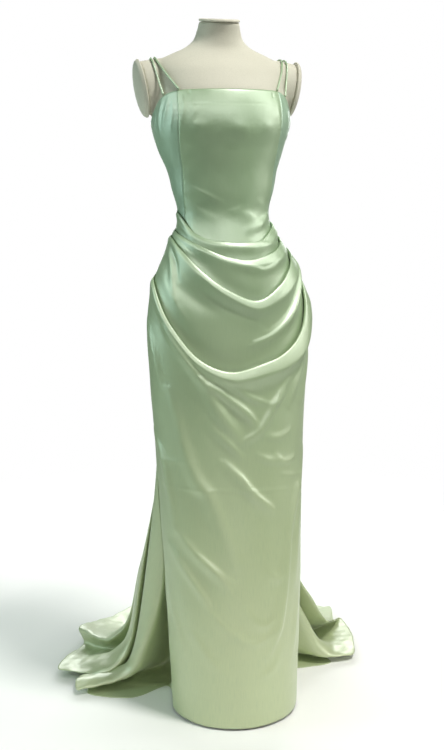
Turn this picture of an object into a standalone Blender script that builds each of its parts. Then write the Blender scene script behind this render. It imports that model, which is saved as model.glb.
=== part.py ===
"""A satin evening gown on a limbless dress form, in metres, +Z up, front facing -Y.

The gown is cut from one family of flat ellipses: SECTIONS gives the half width, depth and
centre of the gown at each height, and every panel is a patch of that surface between two
plan angles (0 at the centre front, +90 at the wearer's left side, 180 at the centre back)
and two heights, made a thin wall. The drape over the hip is three swags, each lapped by
the one below, and the back skirt hangs from the side seams in folds that spread into a
train on the floor. The origin is the centre of the stand's underside.
"""

import math

import bmesh
import bpy
import numpy as np
from mathutils import Matrix, Vector
from mathutils.bvhtree import BVHTree

# Cloth
CLOTH = 0.0015  # wall of the satin with its backing
SEAM_GAP = 0.0003  # between two pieces at a seam
LAYER_STEP = 0.0022  # from the middle of one layer to the middle of the next
COLUMN_STEP = 12.0  # degrees of plan angle between two columns of a panel
BODICE_ROWS = 12  # rows of points between the waist and the neckline
TAIL_ROWS = 3  # and below the waist, behind the drape

# Seams
SIDE_SEAM = 94.0  # plan angle of the side seams
WAIST_HEIGHT = 1.190  # the waist seam, round the back
BUST_HEIGHT = 1.405
DRAPE_TUCK = 0.026  # how far a swag runs on, hidden, behind the next one
HEM_CLEARANCE = 0.005  # front hem above the floor
TRAIN_REST = 0.0022  # middle of the cloth where the train lies on the floor

# Back fastening
PLACKET_BOTTOM = 1.010
PLACKET_WIDTH = 0.016
PLACKET_LAP = 0.002  # how far the lap passes the centre back
PLACKET_OUT = 0.0027  # its middle outside the middle of the backs

# Straps
STRAP_RADIUS = 0.0022
STRAP_CLEARANCE = 0.0012
STRAP_POINTS = 22

# Dress form and stand
FORM_CLEARANCE = 0.0030  # form surface inside the middle of the bodice cloth
FORM_BOTTOM = 0.860
FORM_COLUMNS = 36
NECK_TILT = math.radians(7.0)
NECK_TOP = 1.632
CAP_RADIUS = 0.047
CAP_THICKNESS = 0.006
STUMP_CENTRE = (0.122, 0.021, 1.493)
STUMP_HALF_LENGTH = 0.056
STUMP_DEPTH = 0.042
STUMP_HALF_HEIGHT = 0.060
STUMP_TILT = math.radians(10.0)
PLATE_RISE = 0.018
POLE_RADIUS = 0.0125
BASE_RADIUS = 0.105
BASE_THICKNESS = 0.012

SECTION_COLUMNS = ("height", "half_width", "front", "back", "centre_x", "centre_y")
SECTIONS = (
    (0.005, 0.154, 0.149, 0.090, 0.013, -0.078),
    (0.180, 0.161, 0.147, 0.094, 0.013, -0.071),
    (0.350, 0.168, 0.144, 0.098, 0.013, -0.060),
    (0.500, 0.174, 0.140, 0.104, 0.012, -0.047),
    (0.650, 0.180, 0.136, 0.112, 0.012, -0.037),
    (0.800, 0.187, 0.132, 0.122, 0.011, -0.027),
    (0.923, 0.188, 0.130, 0.128, 0.010, -0.020),
    (0.995, 0.181, 0.128, 0.124, 0.009, -0.017),
    (1.066, 0.161, 0.120, 0.112, 0.007, -0.015),
    (1.113, 0.138, 0.108, 0.098, 0.005, -0.014),
    (1.160, 0.115, 0.094, 0.082, 0.004, -0.013),
    (1.205, 0.108, 0.086, 0.074, 0.003, -0.012),
    (1.253, 0.119, 0.092, 0.078, 0.003, -0.010),
    (1.300, 0.130, 0.100, 0.084, 0.002, -0.006),
    (1.345, 0.147, 0.112, 0.090, 0.000, -0.002),
    (1.405, 0.163, 0.125, 0.100, 0.000, 0.000),
    (1.480, 0.154, 0.112, 0.102, -0.001, 0.006),
    (1.520, 0.140, 0.095, 0.095, -0.002, 0.012),
)

# Rings of the form under the gown: close together where the waist curves in.
TORSO_HEIGHTS = (
    (0.860, 0.920, 0.980, 1.030, 1.070, 1.105, 1.130, 1.150, 1.170, 1.190, 1.215)
    + (1.250, 1.300, 1.345, 1.390, 1.430, 1.470)
)

# The form above the neckline, in the same columns.
SHOULDER_SECTIONS = (
    (1.480, 0.152, 0.110, 0.100, -0.001, 0.006),
    (1.505, 0.154, 0.096, 0.094, -0.001, 0.010),
    (1.530, 0.152, 0.080, 0.082, -0.001, 0.014),
    (1.546, 0.140, 0.066, 0.072, -0.001, 0.017),
    (1.560, 0.112, 0.056, 0.062, -0.001, 0.018),
    (1.572, 0.084, 0.050, 0.056, -0.001, 0.018),
    (1.588, 0.062, 0.047, 0.052, -0.001, 0.016),
    (1.610, 0.052, 0.046, 0.048, -0.001, 0.012),
    (1.632, 0.047, 0.046, 0.046, -0.001, 0.006),
)

# Upper edge of the bodice, the same on both sides.
NECKLINE_COLUMNS = ("angle", "height")
NECKLINE = (
    (0, 1.479),
    (30, 1.478),
    (50, 1.475),
    (64, 1.466),
    (72, 1.455),
    (82, 1.430),
    (94, 1.408),
    (115, 1.400),
    (150, 1.404),
    (180, 1.405),
)

# Plan angle of the princess seams, the same on both sides.
PRINCESS_COLUMNS = ("height", "angle")
PRINCESS = (
    (1.120, 70),
    (1.180, 70),
    (1.217, 68),
    (1.274, 60),
    (1.343, 52),
    (1.402, 48),
    (1.480, 50),
)

# Height of the rolled upper edge of each swag, and of the skirt front under them.
DRAPE_COLUMNS = ("angle", "upper", "middle", "lower", "skirt")
DRAPE = (
    (-94, 1.210, 1.168, 1.155, 1.068),
    (-75, 1.197, 1.158, 1.145, 1.032),
    (-50, 1.163, 1.143, 1.114, 0.947),
    (-30, 1.147, 1.127, 1.077, 0.880),
    (-10, 1.141, 1.109, 1.036, 0.852),
    (10, 1.139, 1.101, 1.011, 0.865),
    (30, 1.143, 1.110, 1.038, 0.887),
    (50, 1.160, 1.124, 1.074, 0.932),
    (70, 1.174, 1.140, 1.102, 1.010),
    (94, 1.180, 1.150, 1.125, 1.068),
)

LAYERS = DRAPE_COLUMNS[1:]
SKIRT_RELAXED = 0.640  # height by which the skirt front has come in to the body's curve

# How far each rolled edge stands out, in the same order as DRAPE's columns.
CREST_COLUMNS = ("angle", "upper", "middle", "lower", "skirt")
CRESTS = (
    (-94, 0.005, 0.005, 0.005, 0.006),
    (-60, 0.005, 0.006, 0.008, 0.010),
    (-20, 0.006, 0.008, 0.014, 0.018),
    (20, 0.007, 0.009, 0.016, 0.018),
    (60, 0.007, 0.008, 0.012, 0.016),
    (94, 0.006, 0.006, 0.007, 0.010),
)

# The roll of one swag: how far each row lies below the edge, and what share of the crest
# it stands out. LIP is the cloth that turns down behind the edge.
ROLL_COLUMNS = ("drop", "share")
LIP = (
    (0.014, 0.04),
    (0.004, 0.35),
)
ROLL = (
    (0.000, 0.68),
    (0.007, 1.00),
    (0.026, 0.86),
    (0.050, 0.50),
    (0.080, 0.18),
    (0.110, 0.00),
)
ROLL_ROWS = 3  # rows of ROLL that every swag has; the rest of it is evenly spaced

# Heights of the rows of the skirt along its side seams.
SEAT = 0.780  # height at which the folds of the back skirt leave the body
SEAT_HEIGHTS = (1.150, 1.110, 1.075, 1.042, 1.000, 0.960, 0.910, 0.850, SEAT)
LEG_HEIGHTS = (0.690, 0.600, 0.500, 0.400, 0.300, 0.200, 0.110, 0.066, 0.033)

# The folds of the back skirt from the wearer's right side seam to the centre back and from
# the left side seam to the centre back. Each row is one fold line: its plan angle at the
# seat, then its places at the knee, at the foot where it turns out over the floor, half way
# along the train and at the hem.
FOLD_COLUMNS = (
    ("angle", "knee_x", "knee_y", "knee_z", "foot_x", "foot_y", "foot_z")
    + ("mid_x", "mid_y", "mid_z", "hem_x", "hem_y", "hem_z")
)
FOLDS_RIGHT = (
    (101, -0.116, 0.036, 0.30, -0.107, 0.062, 0.03, -0.114, 0.058, 0.002, -0.126, 0.050, 0.000),
    (105, -0.112, 0.060, 0.30, -0.092, 0.098, 0.03, -0.150, 0.058, 0.001, -0.226, 0.012, 0.000),
    (108, -0.112, 0.066, 0.30, -0.088, 0.120, 0.03, -0.215, 0.085, 0.002, -0.328, 0.064, 0.000),
    (110, -0.118, 0.086, 0.30, -0.098, 0.158, 0.04, -0.195, 0.145, 0.006, -0.292, 0.134, 0.004),
    (112, -0.137, 0.036, 0.30, -0.182, 0.052, 0.097, -0.228, 0.064, 0.030, -0.354, 0.060, 0.014),
    (117, -0.173, 0.080, 0.29, -0.207, 0.090, 0.092, -0.247, 0.100, 0.042, -0.352, 0.102, 0.024),
    (121, -0.148, 0.140, 0.30, -0.172, 0.172, 0.050, -0.250, 0.168, 0.012, -0.318, 0.172, 0.010),
    (125, -0.178, 0.114, 0.28, -0.211, 0.116, 0.092, -0.280, 0.102, 0.032, -0.385, 0.183, 0.020),
    (132, -0.174, 0.160, 0.27, -0.210, 0.175, 0.088, -0.306, 0.190, 0.032, -0.352, 0.265, 0.016),
    (139, -0.142, 0.205, 0.27, -0.176, 0.245, 0.045, -0.240, 0.290, 0.012, -0.292, 0.350, 0.008),
    (144, -0.158, 0.200, 0.29, -0.188, 0.230, 0.120, -0.245, 0.246, 0.058, -0.303, 0.356, 0.054),
    (151, -0.146, 0.228, 0.28, -0.178, 0.272, 0.085, -0.232, 0.350, 0.038, -0.243, 0.453, 0.026),
    (160, -0.108, 0.230, 0.28, -0.125, 0.312, 0.020, -0.155, 0.420, 0.006, -0.177, 0.527, 0.004),
    (170, -0.060, 0.235, 0.30, -0.065, 0.330, 0.045, -0.096, 0.460, 0.016, -0.110, 0.568, 0.009),
)
FOLDS_LEFT = (
    (101, 0.116, 0.036, 0.30, 0.107, 0.066, 0.03, 0.114, 0.064, 0.002, 0.128, 0.060, 0.000),
    (105, 0.115, 0.060, 0.30, 0.098, 0.100, 0.03, 0.160, 0.074, 0.001, 0.236, 0.056, 0.000),
    (108, 0.118, 0.066, 0.30, 0.098, 0.130, 0.03, 0.215, 0.105, 0.002, 0.326, 0.066, 0.000),
    (110, 0.122, 0.086, 0.30, 0.110, 0.168, 0.04, 0.215, 0.160, 0.006, 0.306, 0.146, 0.004),
    (113, 0.184, 0.060, 0.29, 0.244, 0.082, 0.112, 0.290, 0.062, 0.028, 0.381, 0.062, 0.014),
    (119, 0.204, 0.096, 0.29, 0.268, 0.114, 0.104, 0.338, 0.108, 0.032, 0.422, 0.143, 0.018),
    (124, 0.184, 0.150, 0.29, 0.232, 0.192, 0.050, 0.322, 0.200, 0.012, 0.449, 0.236, 0.008),
    (128, 0.190, 0.164, 0.28, 0.240, 0.220, 0.040, 0.340, 0.270, 0.008, 0.456, 0.324, 0.006),
    (132, 0.220, 0.108, 0.30, 0.294, 0.122, 0.154, 0.346, 0.160, 0.080, 0.400, 0.238, 0.042),
    (139, 0.200, 0.165, 0.28, 0.268, 0.210, 0.118, 0.352, 0.272, 0.046, 0.444, 0.372, 0.022),
    (147, 0.150, 0.215, 0.27, 0.182, 0.262, 0.030, 0.285, 0.350, 0.008, 0.428, 0.426, 0.005),
    (155, 0.126, 0.225, 0.28, 0.150, 0.290, 0.045, 0.235, 0.395, 0.018, 0.366, 0.482, 0.009),
    (163, 0.090, 0.232, 0.28, 0.100, 0.320, 0.012, 0.165, 0.440, 0.004, 0.260, 0.545, 0.002),
    (172, 0.045, 0.236, 0.29, 0.050, 0.338, 0.040, 0.080, 0.470, 0.016, 0.130, 0.588, 0.010),
)
CENTRE_BACK = (180, 0.0, 0.235, 0.28, 0.0, 0.340, 0.012, 0.0, 0.470, 0.003, 0.0, 0.600, 0.000)
SEAM_RETURN = 97.5  # plan angle to which the back skirt follows the front's curve
STEPS_PER_FOLD = 1
TRAIN_STEPS = (2, 2, 2, 2, 2)  # seat to easing, knee, foot, middle and hem

COLOURS = {
    "satin": ((0.42, 0.52, 0.33), 0.36, 0.0),
    "satin_side": ((0.30, 0.46, 0.36), 0.36, 0.0),
    "linen": ((0.68, 0.67, 0.58), 0.85, 0.0),
    "steel": ((0.32, 0.33, 0.34), 0.40, 1.0),
}


def smooth(table, column, at):
    """A named table's column read at a value of its first column, on a smooth curve."""
    names, rows = table
    data = np.array(rows, float)
    key = data[:, 0]
    value = data[:, names.index(column)]
    at = np.clip(np.asarray(at, float), key[0], key[-1])
    slope = np.gradient(value, key)
    i = np.clip(np.searchsorted(key, at, side="right") - 1, 0, len(key) - 2)
    width = key[i + 1] - key[i]
    u = (at - key[i]) / width
    rise = (2 * u**3 - 3 * u**2 + 1) * value[i] + (3 * u**2 - 2 * u**3) * value[i + 1]
    return rise + ((u**3 - 2 * u**2 + u) * slope[i] + (u**3 - u**2) * slope[i + 1]) * width


def section_point(table, angle, height, out=0.0):
    """The point of a section at a plan angle and a height, moved outwards."""
    half, front, back, centre_x, centre_y = (
        smooth((SECTION_COLUMNS, table), name, height) for name in SECTION_COLUMNS[1:]
    )
    turn = np.radians(angle)
    depth = np.where(np.cos(turn) > 0, front, back) + out
    x = centre_x + (half + out) * np.sin(turn)
    y = centre_y - depth * np.cos(turn)
    return np.stack(np.broadcast_arrays(x, y, height), axis=-1)


def gown_point(angle, height, out=0.0):
    return section_point(SECTIONS, angle, height, out)


def neckline(angle):
    return smooth((NECKLINE_COLUMNS, NECKLINE), "height", np.abs(angle))


def princess(height):
    return smooth((PRINCESS_COLUMNS, PRINCESS), "angle", height)


def drape_edge(name, angle):
    return smooth((DRAPE_COLUMNS, DRAPE), name, angle)


def gap_angle(angle, height):
    """The turn that moves a point half a seam gap round its section."""
    half, front, back = (
        smooth((SECTION_COLUMNS, SECTIONS), name, height)
        for name in ("half_width", "front", "back")
    )
    turn = np.radians(angle)
    depth = np.where(np.cos(turn) > 0, front, back)
    pace = np.hypot(half * np.cos(turn), depth * np.sin(turn))
    return np.degrees(SEAM_GAP / 2 / pace)


def material(name):
    found = bpy.data.materials.get(name)
    if found:
        return found
    colour, roughness, metallic = COLOURS[name]
    made = bpy.data.materials.new(name)
    made.use_nodes = True
    shader = made.node_tree.nodes["Principled BSDF"]
    shader.inputs["Base Color"].default_value = (*colour, 1.0)
    shader.inputs["Roughness"].default_value = roughness
    shader.inputs["Metallic"].default_value = metallic
    return made


def add_object(name, mesh, finish, collection):
    mesh.materials.append(material(finish))
    made = bpy.data.objects.new(name, mesh)
    collection.objects.link(made)
    mesh.shade_smooth()
    return made


def grid_mesh(name, points):
    """An open mesh through a grid of points, with rows going up and columns going round."""
    rows, columns = points.shape[:2]
    shape = bmesh.new()
    grid = [[shape.verts.new(points[r, c]) for c in range(columns)] for r in range(rows)]
    for r in range(rows - 1):
        for c in range(columns - 1):
            corners = (grid[r][c], grid[r][c + 1], grid[r + 1][c + 1], grid[r + 1][c])
            shape.faces.new(corners)
    mesh = bpy.data.meshes.new(name)
    shape.to_mesh(mesh)
    shape.free()
    return mesh


def cloth(name, points, finish, collection):
    """A wall of cloth with its middle on a grid of points."""
    made = add_object(name, grid_mesh(name, points), finish, collection)
    wall = made.modifiers.new("Wall", "SOLIDIFY")
    wall.thickness = CLOTH
    wall.offset = 0.0
    return made


def spread(low, high, step):
    """Shares from 0 to 1 that cut the span between two angles into equal columns."""
    return np.linspace(0.0, 1.0, max(2, round(abs(high - low) / step) + 1))


def bodice_panel(name, low_angle, high_angle, bottom, finish, collection):
    """A panel between two seams, given as angle(height), and from an edge below the waist.

    Every panel has the same rows between the waist and the neckline, so that the edges of
    neighbours run side by side.
    """
    widest = np.array([BUST_HEIGHT])
    across = spread(low_angle(widest)[0], high_angle(widest)[0], COLUMN_STEP)
    above = np.linspace(0.0, 1.0, BODICE_ROWS)[:, None]
    below = np.linspace(0.0, 1.0, TAIL_ROWS, endpoint=False)[:, None]
    height = np.full((BODICE_ROWS + (TAIL_ROWS if bottom else 0), len(across)), WAIST_HEIGHT)
    for _ in range(6):
        low = low_angle(height)
        angle = low + (high_angle(height) - low) * across
        upper = angle[-BODICE_ROWS:]
        height[-BODICE_ROWS:] = WAIST_HEIGHT + (neckline(upper) - WAIST_HEIGHT) * above
        if bottom:
            edge = bottom(angle[:TAIL_ROWS])
            height[:TAIL_ROWS] = edge + (WAIST_HEIGHT - edge) * below
    return cloth(name, gown_point(angle, height), finish, collection)


def add_bodice(collection):
    def hidden_bottom(angle):
        return drape_edge("upper", angle) - DRAPE_TUCK

    def seam(side, angle_of, shift):
        def angle(height):
            at = angle_of(height)
            return side * at + shift * gap_angle(at, height)

        return angle

    def side_seam(height):
        return np.full_like(height, SIDE_SEAM)

    def centre_back(height):
        return np.full_like(height, 180.0)

    front_seams = seam(-1, princess, 1), seam(1, princess, -1)
    bodice_panel("bodice_front", *front_seams, hidden_bottom, "satin", collection)
    for side, word in ((-1, "right"), (1, "left")):
        for part, finish, bottom, inner, outer in (
            ("side_front", "satin_side", hidden_bottom, princess, side_seam),
            ("back", "satin", None, side_seam, centre_back),
        ):
            seams = [seam(side, inner, side), seam(side, outer, -side)]
            name = f"bodice_{part}_{word}"
            bodice_panel(name, *seams[::side], bottom, finish, collection)


def add_placket(collection):
    """The lap of cloth that covers the back fastening, across the waist seam."""
    top = float(neckline(180.0)) - 0.002
    height = np.linspace(PLACKET_BOTTOM, top, 12)[:, None]
    half = smooth((SECTION_COLUMNS, SECTIONS), "half_width", height)
    across = np.array([-PLACKET_LAP, PLACKET_WIDTH / 2, PLACKET_WIDTH - PLACKET_LAP])
    angle = 180.0 - np.degrees(across / half)
    points = gown_point(angle, height, PLACKET_OUT)
    cloth("back_placket", points[:, ::-1], "satin", collection)


def side_angles():
    """Plan angles of the columns from one side seam to the other, across the front."""
    edge = SIDE_SEAM - float(gap_angle(SIDE_SEAM, HEM_CLEARANCE))
    return edge * (2.0 * spread(-edge, edge, COLUMN_STEP) - 1.0)


def roll(name, angle, height):
    """How far the crest of one layer stands out at a place below its edge."""
    drop = drape_edge(name, angle) - height
    share = np.interp(drop, *np.array(ROLL).T) * (drop > -1e-6)
    return smooth((CREST_COLUMNS, CRESTS), name, angle) * share


def layer_out(name, angle, height):
    """Offset of a layer of the drape, which rides on the rolls of those under it."""
    count = LAYERS.index(name) + 1
    return LAYER_STEP * count + sum(roll(each, angle, height) for each in LAYERS[:count])


def layer_points(name, angle, lower):
    """The grid of a layer: its lip, its rolled edge, and then the rows given."""
    edge = drape_edge(name, angle)
    crest = smooth((CREST_COLUMNS, CRESTS), name, angle)
    lip = np.array([edge - drop for drop, _ in LIP])
    lip_out = layer_out(name, angle, lip) - roll(name, angle, lip)
    lip_out += np.array([share * crest for _, share in LIP])
    height = np.array([edge - drop for drop, _ in ROLL[:ROLL_ROWS]])
    height = np.concatenate([height, lower])
    out = layer_out(name, angle, height)
    points = gown_point(angle, np.concatenate([lip, height]), np.concatenate([lip_out, out]))
    return points[::-1]


def add_swag(name, below, rows, collection):
    """One swag of the drape, from its rolled edge to its hidden tail behind the next."""
    angle = side_angles()
    start = drape_edge(name, angle) - ROLL[ROLL_ROWS - 1][0]
    tail = np.minimum(drape_edge(below, angle) - DRAPE_TUCK, start - 0.008)
    share = np.linspace(0.0, 1.0, rows + 1)[1:, None]
    points = layer_points(name, angle, start + (tail - start) * share)
    cloth(f"drape_{name}", points, "satin", collection)


def add_skirt_front(collection):
    """The front of the skirt, from its rolled edge under the swags down to the hem."""
    angle = side_angles()
    start = drape_edge("skirt", angle) - ROLL[ROLL_ROWS - 1][0]
    seam = np.array([h for h in (*SEAT_HEIGHTS, *LEG_HEIGHTS, HEM_CLEARANCE) if h < start[0] - 0.001])
    share = (start[0] - seam) / (start[0] - HEM_CLEARANCE)
    lower = start + (HEM_CLEARANCE - start) * share[:, None]
    fade = np.clip((lower - SKIRT_RELAXED) / (start - SKIRT_RELAXED), 0.0, 1.0)
    points = layer_points("skirt", angle, lower)
    rest = gown_point(angle, lower, layer_out("skirt", angle, lower) * fade)
    points[: len(lower)] = rest[::-1]
    cloth("skirt_front", points, "satin", collection)


def through(points, steps):
    """Points on a smooth curve through a table's rows, with a number of steps to each span."""
    ends = 2 * points[:1] - points[1:2], 2 * points[-1:] - points[-2:-1]
    padded = np.concatenate([ends[0], points, ends[1]])
    found = []
    for i, count in enumerate(steps):
        a, b, c, d = padded[i : i + 4]
        for u in np.linspace(0.0, 1.0, count, endpoint=False):
            bend = 2 * a - 5 * b + 4 * c - d
            twist = 3 * b - a - 3 * c + d
            found.append(0.5 * (2 * b + (c - a) * u + bend * u**2 + twist * u**3))
    return np.array([*found, points[-1]])


def fold_line(row, side):
    """One fold of the back skirt from the waist to the hem, as a row of points."""
    angle, *rest = row
    rest = np.array(rest).reshape(4, 3)
    body = gown_point(side * angle, np.array([WAIST_HEIGHT - SEAM_GAP, *SEAT_HEIGHTS]))
    above, start, low = gown_point(side * angle, np.array([0.930, SEAT, 0.600]))
    easing = start + (rest[0] - start) * (SEAT - 0.600) / (SEAT - rest[0][2])
    points = np.array([above, start, 0.55 * low + 0.45 * easing, *rest])
    points[4:, 2] += TRAIN_REST
    return np.concatenate([body, through(points, (1, *TRAIN_STEPS))[2:]])


def column_line(side, angle):
    """A line down the skirt's column at one plan angle, where the back skirt starts."""
    heights = np.array([WAIST_HEIGHT - SEAM_GAP, *SEAT_HEIGHTS, *LEG_HEIGHTS, HEM_CLEARANCE])
    return gown_point(side * (angle + gap_angle(SIDE_SEAM, heights)), heights)


def add_skirt_back(word, side, folds, collection):
    """Half of the back skirt, with its train, from the side seam to the centre back."""
    lines = [column_line(side, SIDE_SEAM), column_line(side, SEAM_RETURN)]
    lines += [fold_line(row, side) for row in (*folds, CENTRE_BACK)]
    lines[-1][:, 0] += side * SEAM_GAP
    steps = [1] + [STEPS_PER_FOLD] * (len(lines) - 2)
    points = through(np.array(lines), steps)
    points[..., 2] = np.maximum(points[..., 2], TRAIN_REST)
    points = points[::side, ::-1].transpose(1, 0, 2)
    cloth(f"skirt_back_{word}", points, "satin", collection)


def ring_solid(name, rings, finish, collection):
    """A closed solid lofted through rings of points, with flat ends."""
    shape = bmesh.new()
    loops = [[shape.verts.new(point) for point in ring] for ring in rings]
    count = len(loops[0])
    for low, high in zip(loops, loops[1:]):
        for i in range(count):
            j = (i + 1) % count
            shape.faces.new((low[i], low[j], high[j], high[i]))
    shape.faces.new(loops[0][::-1])
    shape.faces.new(loops[-1])
    bmesh.ops.recalc_face_normals(shape, faces=shape.faces)
    mesh = bpy.data.meshes.new(name)
    shape.to_mesh(mesh)
    shape.free()
    return add_object(name, mesh, finish, collection)


def stump_matrix(side, along=0.0):
    """Place and turn of one shoulder stump, or of a point along its axis."""
    turn = Matrix.Rotation(side * STUMP_TILT, 4, "Y")
    shift = turn @ Vector((side * along, 0.0, 0.0))
    centre = Vector((side * STUMP_CENTRE[0], STUMP_CENTRE[1], STUMP_CENTRE[2]))
    return Matrix.Translation(centre + shift) @ turn


def add_stump(side, collection):
    """The oval stub of one shoulder, which is joined to the torso."""
    shape = bmesh.new()
    bmesh.ops.create_cone(
        shape,
        cap_ends=True,
        segments=24,
        radius1=1.0,
        radius2=1.0,
        depth=2.0,
        matrix=Matrix.Rotation(math.radians(90.0), 4, "Y"),
    )
    scale = Matrix.Diagonal((STUMP_HALF_LENGTH, STUMP_DEPTH, STUMP_HALF_HEIGHT, 1.0))
    bmesh.ops.transform(shape, matrix=stump_matrix(side) @ scale, verts=shape.verts)
    mesh = bpy.data.meshes.new("stump")
    shape.to_mesh(mesh)
    shape.free()
    made = bpy.data.objects.new(f"stump_tool_{'left' if side > 0 else 'right'}", mesh)
    made.hide_render = True
    made.display_type = "WIRE"
    collection.objects.link(made)
    return made


def tilted_ring(ring):
    """The neck's last ring, cut on the slant of the cap."""
    centre = ring.mean(axis=0)
    slanted = ring.copy()
    slanted[:, 2] += (slanted[:, 1] - centre[1]) * math.tan(NECK_TILT)
    return slanted


def add_torso(collection, tools):
    angle = np.linspace(-180.0, 180.0, FORM_COLUMNS, endpoint=False)
    rings = [gown_point(angle, height, -FORM_CLEARANCE) for height in TORSO_HEIGHTS]
    rings[0][:, 2] = FORM_BOTTOM
    rings += [
        section_point(SHOULDER_SECTIONS, angle, row[0], -0.001)
        for row in SHOULDER_SECTIONS[1:]
    ]
    rings[-1] = tilted_ring(rings[-1])
    torso = ring_solid("form_torso", rings, "linen", collection)
    for side in (-1, 1):
        join = torso.modifiers.new("Shoulder", "BOOLEAN")
        join.operation = "UNION"
        join.object = add_stump(side, tools)
    return torso


def add_neck_cap(collection):
    neck = section_point(SHOULDER_SECTIONS, 0.0, NECK_TOP)
    middle_y = 0.5 * (neck[1] + section_point(SHOULDER_SECTIONS, 180.0, NECK_TOP)[1])
    lift = CAP_THICKNESS / 2 + SEAM_GAP
    bpy.ops.mesh.primitive_cylinder_add(
        vertices=32,
        radius=CAP_RADIUS,
        depth=CAP_THICKNESS,
        location=(
            neck[0],
            middle_y - lift * math.sin(NECK_TILT),
            NECK_TOP + lift * math.cos(NECK_TILT),
        ),
        rotation=(NECK_TILT, 0.0, 0.0),
    )
    own_primitive("form_neck_cap", "linen", collection)


def own_primitive(name, finish, collection):
    """Names a primitive that was just added and moves it to the part's collection."""
    made = bpy.context.active_object
    made.name = name
    for holder in list(made.users_collection):
        holder.objects.unlink(made)
    collection.objects.link(made)
    made.data.materials.append(material(finish))
    made.data.shade_smooth()
    made.data.set_sharp_from_angle(angle=math.radians(40.0))
    return made


def add_arm_plate(word, side, collection):
    """The domed oval plate that closes one shoulder stub."""
    shape = bmesh.new()
    bmesh.ops.create_uvsphere(shape, u_segments=24, v_segments=12, radius=1.0)
    bmesh.ops.rotate(
        shape, verts=shape.verts, matrix=Matrix.Rotation(math.radians(90.0), 3, "Y")
    )
    cut = bmesh.ops.bisect_plane(
        shape,
        geom=[*shape.verts, *shape.edges, *shape.faces],
        plane_co=(0.0, 0.0, 0.0),
        plane_no=(-side, 0.0, 0.0),
        clear_outer=True,
    )
    rim = [item for item in cut["geom_cut"] if isinstance(item, bmesh.types.BMEdge)]
    bmesh.ops.contextual_create(shape, geom=rim)
    scale = Matrix.Diagonal((PLATE_RISE, STUMP_DEPTH + 0.002, STUMP_HALF_HEIGHT + 0.003, 1.0))
    place = stump_matrix(side, STUMP_HALF_LENGTH + SEAM_GAP)
    bmesh.ops.transform(shape, matrix=place @ scale, verts=shape.verts)
    bmesh.ops.recalc_face_normals(shape, faces=shape.faces)
    mesh = bpy.data.meshes.new("arm_plate")
    shape.to_mesh(mesh)
    shape.free()
    return add_object(f"form_arm_plate_{word}", mesh, "linen", collection)


def evaluated_tree(obj):
    """The surface of an object with its modifiers, for finding the nearest point on it."""
    graph = bpy.context.evaluated_depsgraph_get()
    return BVHTree.FromObject(obj, graph)


def clear_of(tree, points, distance):
    """The points, each moved out to at least this distance from a surface."""
    moved = []
    for point in points:
        place = Vector(point)
        nearest, normal, _, gap = tree.find_nearest(place)
        inside = (place - nearest).dot(normal) < 0.0
        if inside or gap < distance:
            place = nearest + normal * distance
        moved.append(place)
    return np.array(moved)


def strap_path(tree, front, top, back):
    """A taut route from the bodice over the shoulder to the back, lying on the form."""
    corners = np.array([front, top, back])
    legs = np.linalg.norm(np.diff(corners, axis=0), axis=1)
    along = np.concatenate([[0.0], np.cumsum(legs)])
    at = np.linspace(0.0, along[-1], STRAP_POINTS)
    points = np.stack([np.interp(at, along, corners[:, i]) for i in range(3)], axis=1)
    reach = STRAP_RADIUS * 1.10 + STRAP_CLEARANCE
    for _ in range(12):
        points[1:-1] = 0.5 * points[1:-1] + 0.25 * (points[:-2] + points[2:])
        points[1:-1] = clear_of(tree, points[1:-1], reach)
    return points


def add_strap(name, tree, front, top, back, collection):
    points = strap_path(tree, front, top, back)
    line = bpy.data.curves.new(name, "CURVE")
    line.dimensions = "3D"
    spline = line.splines.new("POLY")
    spline.points.add(len(points) - 1)
    for knot, point in zip(spline.points, points):
        knot.co = (*point, 1.0)
    line.bevel_depth = STRAP_RADIUS
    line.bevel_resolution = 2
    line.use_fill_caps = True
    line.materials.append(material("satin"))
    made = bpy.data.objects.new(name, line)
    collection.objects.link(made)


def add_straps(torso, collection):
    bpy.context.view_layer.update()
    tree = evaluated_tree(torso)
    lift = STRAP_RADIUS
    for side, word in ((-1, "right"), (1, "left")):
        for place, front_angle, back_angle, shoulder in (
            ("inner", 48.0, 150.0, 0.158),
            ("outer", 66.0, 138.0, 0.1645),
        ):
            front = gown_point(side * front_angle, float(neckline(front_angle)) + lift)
            back = gown_point(side * back_angle, float(neckline(back_angle)) + lift)
            top = (side * shoulder, 0.016, 1.5585)
            add_strap(f"strap_{word}_{place}", tree, front, top, back, collection)


def add_stand(collection):
    bpy.ops.mesh.primitive_cylinder_add(
        vertices=48,
        radius=BASE_RADIUS,
        depth=BASE_THICKNESS,
        location=(0.0, 0.0, BASE_THICKNESS / 2),
    )
    own_primitive("stand_base", "steel", collection)
    bottom = BASE_THICKNESS + SEAM_GAP
    top = FORM_BOTTOM - SEAM_GAP
    bpy.ops.mesh.primitive_cylinder_add(
        vertices=24,
        radius=POLE_RADIUS,
        depth=top - bottom,
        location=(0.0, 0.0, (top + bottom) / 2),
    )
    own_primitive("stand_pole", "steel", collection)


def main():
    for old in list(bpy.data.objects):
        bpy.data.objects.remove(old)
    gown = bpy.data.collections.new("evening_gown_on_dress_form")
    tools = bpy.data.collections.new("tools")
    bpy.context.scene.collection.children.link(gown)
    bpy.context.scene.collection.children.link(tools)
    add_bodice(gown)
    add_placket(gown)
    add_swag("upper", "middle", 2, gown)
    add_swag("middle", "lower", 4, gown)
    add_swag("lower", "skirt", 6, gown)
    add_skirt_front(gown)
    add_skirt_back("right", -1, FOLDS_RIGHT, gown)
    add_skirt_back("left", 1, FOLDS_LEFT, gown)
    torso = add_torso(gown, tools)
    add_neck_cap(gown)
    for side, word in ((-1, "right"), (1, "left")):
        add_arm_plate(word, side, gown)
    add_straps(torso, gown)
    add_stand(gown)


main()
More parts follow.
